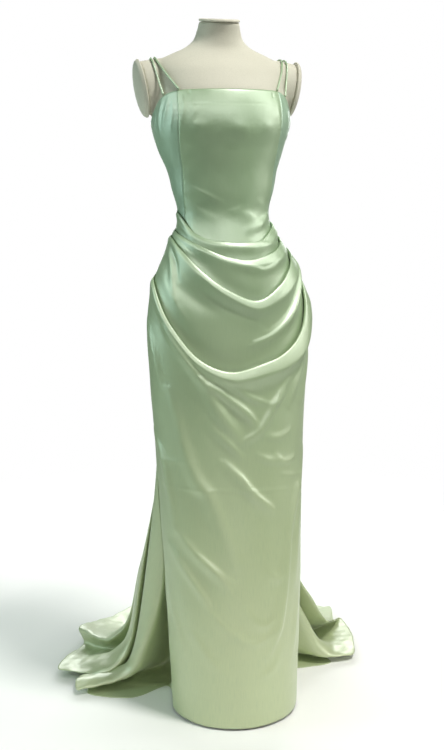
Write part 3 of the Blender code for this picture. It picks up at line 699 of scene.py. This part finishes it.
def bodice_panel(name, low_angle, high_angle, bottom, finish, columns, rows):
    """A panel between two seams, from the waist, or an edge below it, up to the neckline."""
    across = dense_ends(columns)
    tail = max(8, rows // 8) if bottom else 0
    above = np.linspace(0.0, 1.0, rows)[:, None]
    below = np.linspace(0.0, 1.0, tail, endpoint=False)[:, None]
    height = np.full((rows + tail, columns), WAIST_HEIGHT)
    for _ in range(6):
        low = low_angle(height)
        angle = low + (high_angle(height) - low) * across
        height[tail:] = WAIST_HEIGHT + (neckline(angle[tail:]) - WAIST_HEIGHT) * above
        if bottom:
            edge = bottom(angle[:tail])
            height[:tail] = edge + (WAIST_HEIGHT - edge) * below
    out = crease_relief("bodice", angle, height)
    # Cloth turned under at the seams, with small puckers along them, and the facing line.
    span = (high_angle(height) - low_angle(height)) * np.radians(1) * half_width(height) * 0.8
    seam = np.minimum(across, 1 - across) * np.abs(span)
    out -= SEAM_DIP * np.exp(-((seam / 0.0016) ** 2))
    pucker = np.sin(height * 2 * math.pi / PUCKER_PITCH + 1.7 * np.sin(height * 61.0))
    out += PUCKER * pucker * np.exp(-((seam / 0.006) ** 2)) * (seam > 0.0004)
    under = neckline(angle) - height
    out -= 0.0004 * np.exp(-(((under - FACING_DEPTH) / 0.0016) ** 2)) * (np.abs(angle) < 80)
    out -= 0.0007 * np.exp(-((under / 0.0015) ** 2))
    # The whole panel is very slightly uneven, as worn cloth is.
    out += WORN * np.sin(angle * 0.13 + height * 41) * np.sin(height * 33 - angle * 0.05)
    if bottom:
        bare = np.maximum(height - bottom(angle) - DRAPE_TUCK, 0)
        out = np.minimum(out, UNDER_DRAPE + 10 * bare)
    points = gown_point(angle, height, out)
    cloth(name, points, finish)


def build_bodice():
    """The five panels of the bodice, and the placket on its centre back."""
    def hidden_bottom(angle):
        return drape_edge("upper", angle) - DRAPE_TUCK

    def seam(side, angle_of, shift):
        def angle(height):
            at = angle_of(height)
            return side * at + shift * gap_angle(at, height)

        return angle

    def side_seam(height):
        return np.full_like(height, SIDE_SEAM)

    def centre_back(height):
        return np.full_like(height, 180.0)

    seams = seam(-1, princess, 1), seam(1, princess, -1)
    bodice_panel("bodice_front", *seams, hidden_bottom, SATIN, 120, 120)
    for side, word in ((-1, "right"), (1, "left")):
        for part, finish, bottom, inner, outer, columns in (
            # The side fronts wear the teal-tinted copy of the satin, a painted reflection of the
            # cool light.
            ("side_front", SATIN_SIDE_PAINTED_TEAL, hidden_bottom, princess, side_seam, 60),
            ("back", SATIN, None, side_seam, centre_back, 80),
        ):
            seams = [seam(side, inner, side), seam(side, outer, -side)]
            name = f"bodice_{part}_{word}"
            bodice_panel(name, *seams[::side], bottom, finish, columns, 100)
    top = float(neckline(180.0)) - 0.002
    height = np.linspace(PLACKET_BOTTOM, top, 110)[:, None]
    across = np.linspace(-PLACKET_LAP, PLACKET_WIDTH - PLACKET_LAP, 9)
    angle = 180.0 - np.degrees(across / half_width(height))
    edge = np.minimum(across + PLACKET_LAP, PLACKET_WIDTH - PLACKET_LAP - across)
    out = PLACKET_OUT - 0.0006 * np.exp(-((edge / 0.0015) ** 2))
    out = out + crease_relief("back", angle, height) * (height < WAIST_HEIGHT)
    points = gown_point(angle, height, out)[:, ::-1]
    cloth("back_placket", points, SATIN)


# ---------------------------------------------------------------- drape and skirt front


def crest_of(name, angle):
    """How far the roll of one layer stands out at its proudest."""
    return smooth((CREST_COLUMNS, CRESTS), name, angle)


def roll(name, angle, height):
    """How far the crest of one layer stands out below its edge."""
    drop = np.maximum(drape_edge(name, angle) - height, 0.0)
    proudest = smooth((CREST_COLUMNS, CREST_DROPS), name, angle)
    t = np.clip(drop / proudest, 0.0, 1.0)
    rise = 0.40 + 0.60 * (0.55 * np.sqrt(np.maximum(1 - (1 - t) ** 2, 0)) + 0.45 * t)
    fall = np.exp(-((np.maximum(drop - proudest, 0.0) / CREST_FALLS[name]) ** 1.6))
    return crest_of(name, angle) * rise * fall


def seam_close(angle, least):
    """1 across the front, falling to a least share where a swag is caught in the side seam."""
    t = np.clip((SIDE_SEAM - np.abs(angle)) / SEAM_CATCH, 0.0, 1.0)
    return least + (1.0 - least) * t * t * (3 - 2 * t)


def pocket(name, angle, height):
    """The hollow of one layer just above the edge that lies over it."""
    depth, reach = POCKETS[name]
    over = LAYERS[LAYERS.index(name) + 1]
    above = (height - drape_edge(over, angle) - 0.3 * reach) / reach
    return -depth * np.exp(-(above**2)) * np.clip(np.cos(np.radians(1.05 * angle)), 0, 1)


def layer_out(name, angle, height, with_roll=True):
    """Offset of a layer of the drape, which rides on the rolls of those under it."""
    count = LAYERS.index(name) + 1
    total = 0.0
    for each in LAYERS[: count if with_roll else count - 1]:
        total = total + roll(each, angle, height)
        below = drape_edge(each, angle) - height
        total = total + crease_relief(each, angle, height) * np.clip(below / 0.006, 0, 1)
    if with_roll and name in POCKETS:
        total = total + pocket(name, angle, height)
    return seam_close(angle, 0.42) * LAYER_STEP * count + seam_close(angle, 0.0) * total


def layer_points(name, angle, lower):
    """The grid of a layer, from its lip over its rolled edge and down the rows given."""
    edge = drape_edge(name, angle)
    lip = np.array([edge - drop for drop, _ in LIP])
    behind = layer_out(name, angle, lip, with_roll=False)
    lift = np.array([share for _, share in LIP])[:, None] * crest_of(name, angle)
    behind = behind + lift * seam_close(angle, 0.0)
    height = np.concatenate([[edge], lower])
    out = np.concatenate([behind, layer_out(name, angle, height)])
    return gown_point(angle, np.concatenate([lip, height]), out)[::-1]


def side_angles(columns):
    """Angles across the front, from side seam to side seam."""
    edge = SIDE_SEAM - float(gap_angle(SIDE_SEAM, HEM_CLEARANCE))
    return edge * (2.0 * np.linspace(0.0, 1.0, columns) - 1.0)


def near_rows(edge):
    """Rows close together under a rolled edge."""
    drops = 0.0002 + 0.026 * np.linspace(0.0, 1.0, 22)[1:] ** 1.6
    return np.array([edge - drop for drop in drops])


def build_drape():
    """The three swags, each from its rolled edge to a tuck under the next."""
    angle = side_angles(190)
    for name, rows in (("upper", 26), ("middle", 38), ("lower", 56)):
        below = LAYERS[LAYERS.index(name) + 1]
        top = near_rows(drape_edge(name, angle))
        tail = np.minimum(drape_edge(below, angle) - DRAPE_TUCK, top[-1] - 0.008)
        share = np.linspace(0.0, 1.0, rows + 1)[1:, None]
        lower = np.concatenate([top, top[-1] + (tail - top[-1]) * share])
        cloth(f"drape_{name}", layer_points(name, angle, lower), SATIN)


def build_skirt_front():
    """The front skirt, from its rolled edge to the hem."""
    angle = side_angles(210)
    top = near_rows(drape_edge("skirt", angle))
    start = top[-1]
    share = np.linspace(0.0, 1.0, 186)[1:, None] ** 1.12
    lower = start + (HEM_CLEARANCE - start) * share
    height = np.concatenate([top, lower])
    points = layer_points("skirt", angle, height)
    fade = np.clip((lower - SKIRT_RELAXED) / (start - SKIRT_RELAXED), 0.0, 1.0)
    fade = fade * fade * (3 - 2 * fade)
    relief = crease_relief("skirt", angle, lower)
    base = layer_out("skirt", angle, lower) - relief
    hem = np.exp(-(((lower - HEM_CLEARANCE) / 0.004) ** 2))
    uneven = 0.0007 * np.sin(angle * 0.09 + lower * 23) * np.sin(lower * 17 - angle * 0.06)
    out = base * fade + relief + uneven - 0.0008 * hem
    points[: len(lower)] = gown_point(angle, lower, out)[::-1]
    cloth("skirt_front", points, SATIN)


# ---------------------------------------------------------------- back skirt and train

def body_rows(angle):
    """One line of a skirt back, on the body from the waist to the seat."""
    height = np.linspace(WAIST_HEIGHT - SEAM_GAP, SEAT, BODY_ROWS)
    relief = crease_relief("back", np.full_like(height, angle), height)
    relief *= np.clip((abs(angle) - SEAM_RETURN) / 8.0, 0, 1)
    return gown_point(angle, height, relief)


def fold_line(row, side):
    """One line of a skirt back from the seat to the hem, which leaves the body smoothly."""
    angle, *rest = row
    rest = metres(rest).reshape(4, 3)
    above, start, low = gown_point(side * angle, np.array([0.930, SEAT, 0.600]))
    easing = start + (rest[0] - start) * (SEAT - 0.600) / (SEAT - rest[0][2])
    points = np.array([above, start, 0.55 * low + 0.45 * easing, *rest])
    points[4:, 2] += TRAIN_REST
    return through(points, (1, *TRAIN_STEPS))[2:]


def column_line(side, angle):
    """One line that falls straight from the seat to the hem beside the side seam."""
    heights = np.linspace(SEAT, HEM_CLEARANCE, sum(TRAIN_STEPS) + 1)[1:]
    return gown_point(side * (angle + gap_angle(SIDE_SEAM, heights)), heights)


def build_skirt_back(word, side, folds):
    """Half of the back skirt and train, from its side seam to the centre back."""
    rows = (*folds, CENTRE_BACK)
    angles = [SIDE_SEAM, SEAM_RETURN, *(row[0] for row in rows)]
    train = [column_line(side, SIDE_SEAM), column_line(side, SEAM_RETURN)]
    train += [fold_line(row, side) for row in rows]
    steps = [3] + [9] * (len(train) - 2)
    train = through(np.array(train), steps)
    across = through(np.array(angles, float)[:, None], steps)[:, 0]
    body = np.array([body_rows(side * angle) for angle in across])
    points = np.concatenate([body, train], axis=1)
    points[-1, :, 0] = side * SEAM_GAP
    # Small uneven ripples where the cloth lies on the floor, none at the seams.
    x, y, z = points[..., 0], points[..., 1], points[..., 2]
    low = np.clip((0.30 - z) / 0.25, 0.0, 1.0) * np.clip((y + 0.02) / 0.10, 0.0, 1.0)
    ripple = np.sin(x * 98 + y * 61) * np.sin(y * 87 - x * 47) + 0.5 * np.sin(x * 141 - y * 123)
    points[..., 2] += TRAIN_RIPPLE * low * ripple * np.clip(np.abs(x) / 0.02, 0.0, 1.0)
    points[..., 2] = np.maximum(points[..., 2], TRAIN_REST)
    points = points[::side, ::-1].transpose(1, 0, 2)
    cloth(f"skirt_back_{word}", points, SATIN)


# ---------------------------------------------------------------- straps


def clear_of(tree, points, distance):
    """Points moved out of a surface to at least a distance from it."""
    moved = []
    for point in points:
        place = Vector(point)
        nearest, normal, _, gap = tree.find_nearest(place)
        if (place - nearest).dot(normal) < 0.0 or gap < distance:
            place = nearest + normal * distance
        moved.append(place)
    return np.array(moved)


def strap_path(tree, front, top, back, count=64):
    """A taut line over the shoulder, just clear of the form."""
    corners = np.array([front, top, back])
    legs = np.linalg.norm(np.diff(corners, axis=0), axis=1)
    along = np.concatenate([[0.0], np.cumsum(legs)])
    at = np.linspace(0.0, along[-1], count)
    points = np.stack([np.interp(at, along, corners[:, i]) for i in range(3)], axis=1)
    for _ in range(STRAP_PULLS):
        points[1:-1] = 0.5 * points[1:-1] + 0.25 * (points[:-2] + points[2:])
        points[1:-1] = clear_of(tree, points[1:-1], STRAP_RADIUS + STRAP_CLEARANCE)
    return points


def tube(points):
    """Rings of points round a strap's path, a little uneven in size."""
    ahead = np.gradient(points, axis=0)
    ahead /= np.linalg.norm(ahead, axis=1, keepdims=True)
    across = np.cross(ahead, (0.0, 1.0, 0.3))
    across /= np.linalg.norm(across, axis=1, keepdims=True)
    over = np.cross(across, ahead)
    turn = np.linspace(0.0, 2 * np.pi, STRAP_SIDES, endpoint=False)
    size = STRAP_RADIUS * (1 + 0.05 * np.sin(np.arange(len(points)) * 1.9))[:, None, None]
    ring = np.cos(turn)[:, None] * across[:, None] + np.sin(turn)[:, None] * over[:, None]
    return (points[:, None] + ring * size).reshape(-1, 3)


def build_straps(torso):
    """The four turned straps, two over each shoulder."""
    tree = BVHTree.FromObject(torso, bpy.context.evaluated_depsgraph_get())
    for side, word in ((-1, "right"), (1, "left")):
        for place, front_angle, back_angle, shoulder in (
            ("inner", 48.0, 150.0, 0.158),
            ("outer", 66.0, 138.0, 0.1645),
        ):
            front = gown_point(side * front_angle, float(neckline(front_angle)) + STRAP_RADIUS)
            back = gown_point(side * back_angle, float(neckline(back_angle)) + STRAP_RADIUS)
            path = strap_path(tree, front, (side * shoulder, 0.016, 1.5585), back)
            length = float(np.linalg.norm(np.diff(path, axis=0), axis=1).sum())
            turn = np.linspace(0, 0.0138, STRAP_SIDES, endpoint=False)
            run = np.linspace(0, length, len(path))
            uv = np.stack([np.tile(turn, len(path)), np.repeat(run, STRAP_SIDES)], axis=1)
            name = f"strap_{word}_{place}"
            faces = grid_faces(len(path), STRAP_SIDES, closed=True)
            mesh = cloth_mesh(name, tube(path), faces, uv)
            made = add_piece(mesh, f"{name}_rouleau", SATIN, name)


# ---------------------------------------------------------------- form


def loft(name, rings):
    """A closed mesh through rings of points, capped at both ends."""
    rings = np.asarray(rings)
    mesh = bpy.data.meshes.new(name)
    faces = grid_faces(*rings.shape[:2], closed=True)
    mesh.from_pydata(rings.reshape(-1, 3).tolist(), [], faces)
    return mesh


def stump_matrix(side, along=0.0):
    """Place and tilt of a shoulder's axis, a distance along it."""
    turn = Matrix.Rotation(side * STUMP_TILT, 4, "Y")
    shift = turn @ Vector((side * along, 0.0, 0.0))
    centre = Vector((side * STUMP_CENTRE[0], STUMP_CENTRE[1], STUMP_CENTRE[2]))
    return Matrix.Translation(centre + shift) @ turn


def lathe_oval(side, along, radii, profile, columns=72):
    """Rings of an oval lathe shape on a shoulder's axis: profile is (out, share of radius)."""
    turn = np.linspace(0.0, 2 * np.pi, columns, endpoint=False)
    place = np.array(stump_matrix(side, along))
    rings = []
    for out, share in profile:
        depth, half = (radius * share for radius in radii)
        ring = np.full_like(turn, side * out), -side * depth * np.cos(turn), half * np.sin(turn)
        rings.append(np.stack(ring, axis=1) @ place[:3, :3].T + place[:3, 3])
    return rings


def build_torso():
    """The padded torso: body, neck and shoulder stumps, joined and softened as one skin."""
    angle = np.linspace(-180.0, 180.0, 120, endpoint=False)
    rings = [gown_point(angle, h, -FORM_CLEARANCE) for h in np.linspace(FORM_BOTTOM, 1.470, 90)]
    for height in np.linspace(1.486, NECK_TOP, 40):
        ring = section_point(SHOULDER_SECTIONS, angle, height, -0.001)
        slant = np.clip((height - 1.600) / (NECK_TOP - 1.600), 0, 1)
        ring[:, 2] += slant * (ring[:, 1] - ring[:, 1].mean()) * math.tan(NECK_TILT)
        rings.append(ring)
    shape = bmesh.new()
    shape.from_mesh(loft("torso", rings))
    for side in (-1, 1):
        profile = ((-0.056, 0.90), (-0.02, 0.97), (0.02, 1.0), (0.0545, 1.0), (0.056, 0.985))
        radii = (STUMP_DEPTH, STUMP_HALF_HEIGHT)
        shape.from_mesh(loft("stump", lathe_oval(side, 0.0, radii, profile)))
    bmesh.ops.recalc_face_normals(shape, faces=shape.faces)
    mesh = bpy.data.meshes.new("torso_source")
    shape.to_mesh(mesh)
    shape.free()
    source = put("torso_source", mesh)
    remesh = source.modifiers.new("Join", "REMESH")
    remesh.mode = "VOXEL"
    remesh.voxel_size = FORM_VOXEL
    soften = source.modifiers.new("Soften", "SMOOTH")
    soften.factor = 0.5
    soften.iterations = 5
    bpy.context.view_layer.update()
    graph = bpy.context.evaluated_depsgraph_get()
    joined = bpy.data.meshes.new_from_object(source.evaluated_get(graph))
    bpy.data.objects.remove(source)
    joined.name = "form_torso_padded"
    joined.materials.clear()
    return add_piece(joined, "form_torso_padded", LINEN, "form_torso")


def build_form_details():
    """The cap on the neck and the domed plates on the arm stumps."""
    neck = section_point(SHOULDER_SECTIONS, 0.0, NECK_TOP)
    middle_y = 0.5 * (neck[1] + section_point(SHOULDER_SECTIONS, 180.0, NECK_TOP)[1])
    turn = np.linspace(0.0, 2 * np.pi, 96, endpoint=False)
    tilt = np.array(Matrix.Rotation(NECK_TILT, 3, "X"))
    lift = CAP_THICKNESS / 2 + SEAM_GAP
    centre = neck[0], middle_y - lift * math.sin(NECK_TILT), NECK_TOP + lift * math.cos(NECK_TILT)
    rings = []
    for up, share in CAP_PROFILE:
        radius = CAP_RADIUS * share
        ring = np.stack([radius * np.cos(turn), radius * np.sin(turn), np.full(96, up)], axis=1)
        rings.append(ring @ tilt.T + centre)
    add_hard_piece(loft("form_neck_cap_turned", rings), "form_neck_cap", CAP)
    for side, word in ((-1, "right"), (1, "left")):
        profile = [(0.0, 0.97), (0.0006, 0.995), (0.0022, 1.0), (0.0040, 0.992), (0.0046, 0.975)]
        profile += [
            (0.0046 + 0.0134 * math.sqrt(max(1 - (share / 0.975) ** 2, 0)), share)
            for share in (0.96, 0.93, 0.88, 0.80, 0.70, 0.58, 0.45, 0.30, 0.15, 0.04)
        ]
        radii = (STUMP_DEPTH + 0.004, STUMP_HALF_HEIGHT + 0.006)
        rings = lathe_oval(side, STUMP_HALF_LENGTH + SEAM_GAP, radii, profile)
        plate = loft(f"form_arm_plate_{word}_domed", rings)
        add_hard_piece(plate, f"form_arm_plate_{word}", LINEN)


def add_hard_piece(mesh, node, finish):
    """A hard piece of the form, its faces turned to look outwards."""
    shape = bmesh.new()
    shape.from_mesh(mesh)
    bmesh.ops.recalc_face_normals(shape, faces=shape.faces)
    shape.to_mesh(mesh)
    shape.free()
    add_piece(mesh, mesh.name, finish, node)


def dress_stand():
    """Steel on the pole and base, which are the CAD's own solids."""
    for name in ("stand_pole", "stand_base"):
        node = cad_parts[name]
        node.data.materials.clear()
        node.data.materials.append(STEEL)


# ---------------------------------------------------------------- camera, lights, floor

CAMERA_TURN = math.radians(-16.0)
CAMERA_DISTANCE = 2.75
CAMERA_HEIGHT = 1.35
CAMERA_DIP = 11.05
TOWARDS = Vector((-math.sin(CAMERA_TURN), math.cos(CAMERA_TURN), 0.0))
RIGHT = Vector((TOWARDS.y, -TOWARDS.x, 0.0))


def add_camera():
    """The camera, a little to the wearer's right and looking down."""
    data = bpy.data.cameras.new("camera")
    data.lens = 55.8
    data.sensor_width = 36.0
    data.shift_x = 0.0021
    camera = put("camera", data)
    camera.location = -TOWARDS * CAMERA_DISTANCE + Vector((0.0, 0.0, CAMERA_HEIGHT))
    pitch = math.radians(90.0 - CAMERA_DIP)
    camera.rotation_euler = (pitch, 0.0, math.atan2(-TOWARDS.x, TOWARDS.y))
    bpy.context.scene.camera = camera


def add_light(name, turn, lift, distance, size, power, colour, target):
    """An area light: its angle to the right of the camera, its elevation and its distance."""
    data = bpy.data.lights.new(name, "AREA")
    data.shape = "RECTANGLE"
    data.size, data.size_y = size
    data.energy = power
    data.color = colour
    light = put(name, data)
    turn, lift = math.radians(turn), math.radians(lift)
    level = -TOWARDS * math.cos(turn) + RIGHT * math.sin(turn)
    target = Vector(target)
    light.location = target + distance * (level * math.cos(lift) + Vector((0, 0, math.sin(lift))))
    light.rotation_euler = (light.location - target).to_track_quat("Z", "Y").to_euler()
    return light


def add_lights():
    """The studio: band, edge and side show only as shine, and low only lights evenly."""
    add_light("key", 54, 64, 3.4, (0.6, 0.6), 108, (1.0, 0.985, 0.95), (0.0, 0.0, 1.10))
    band = add_light("band", -6, 30, 3.0, (7.0, 0.6), 80, (1.0, 1.0, 1.0), (0.0, 0.0, 1.25))
    edge = add_light("edge", 84, 36, 2.8, (1.2, 2.2), 40, (1.0, 1.0, 0.98), (0.0, 0.0, 0.90))
    side = add_light("side", -70, 38, 2.8, (1.3, 2.0), 22, (0.90, 1.0, 0.97), (0.0, 0.0, 0.95))
    low = add_light("low", 14, 7, 1.7, (1.6, 0.3), 8, (1.0, 0.99, 0.96), (0.0, 0.0, 0.12))
    add_light("cool", -82, 14, 2.8, (1.0, 1.8), 22, (0.72, 1.0, 0.94), (0.0, 0.0, 0.70))
    add_light("warm", 92, 14, 2.8, (0.6, 2.0), 12, (1.0, 0.98, 0.91), (0.0, 0.0, 0.75))
    add_light("rear", 180, 26, 3.6, (3.6, 1.4), 108, (0.97, 1.0, 1.0), (0.0, 0.25, 0.30))
    band.visible_diffuse = edge.visible_diffuse = side.visible_diffuse = False
    low.visible_glossy = False


def add_world():
    """An even pale surround, white where the camera sees it."""
    world = bpy.data.worlds.new("studio")
    bpy.context.scene.world = world
    world.use_nodes = True
    tree = world.node_tree
    tree.nodes.clear()
    out = tree.nodes.new("ShaderNodeOutputWorld")
    seen, lit = (tree.nodes.new("ShaderNodeBackground") for _ in range(2))
    seen.inputs["Color"].default_value = (1.0, 1.0, 1.0, 1.0)
    seen.inputs["Strength"].default_value = 1.0
    lit.inputs["Color"].default_value = (0.93, 1.0, 0.88, 1.0)
    lit.inputs["Strength"].default_value = 0.17
    path = tree.nodes.new("ShaderNodeLightPath")
    mix = tree.nodes.new("ShaderNodeMixShader")
    tree.links.new(path.outputs["Is Camera Ray"], mix.inputs["Fac"])
    tree.links.new(lit.outputs["Background"], mix.inputs[1])
    tree.links.new(seen.outputs["Background"], mix.inputs[2])
    tree.links.new(mix.outputs["Shader"], out.inputs["Surface"])


def add_floor():
    """A pale disc that fades out at its rim, so that no horizon shows."""
    shape = bmesh.new()
    bmesh.ops.create_circle(shape, cap_ends=True, segments=96, radius=6.0)
    mesh = bpy.data.meshes.new("floor")
    shape.to_mesh(mesh)
    shape.free()
    nodes = Nodes("floor_pale")
    length = nodes.add("ShaderNodeVectorMath", operation="LENGTH")
    nodes.link(nodes.place("Object"), length.inputs[0])
    pale = nodes.finish(
        Base_Color=(0.93, 0.93, 0.92, 1.0),
        Roughness=0.9,
        Specular_IOR_Level=0.1,
        Alpha=nodes.spread(length.outputs["Value"], 1.0, 0.0, 0.75, 2.0),
    )
    mesh.materials.append(pale)
    floor = put("floor", mesh)
    floor.location = (0.0, 0.1, 0.0)


def main():
    """Everything that shows, the camera first."""
    add_camera()
    add_world()
    add_lights()
    add_floor()
    bpy.context.scene.view_settings.view_transform = "Standard"
    build_bodice()
    build_drape()
    build_skirt_front()
    build_skirt_back("right", -1, FOLDS_RIGHT)
    build_skirt_back("left", 1, FOLDS_LEFT)
    torso = build_torso()
    build_form_details()
    build_straps(torso)
    dress_stand()


main()
bpy.context.view_layer.update()
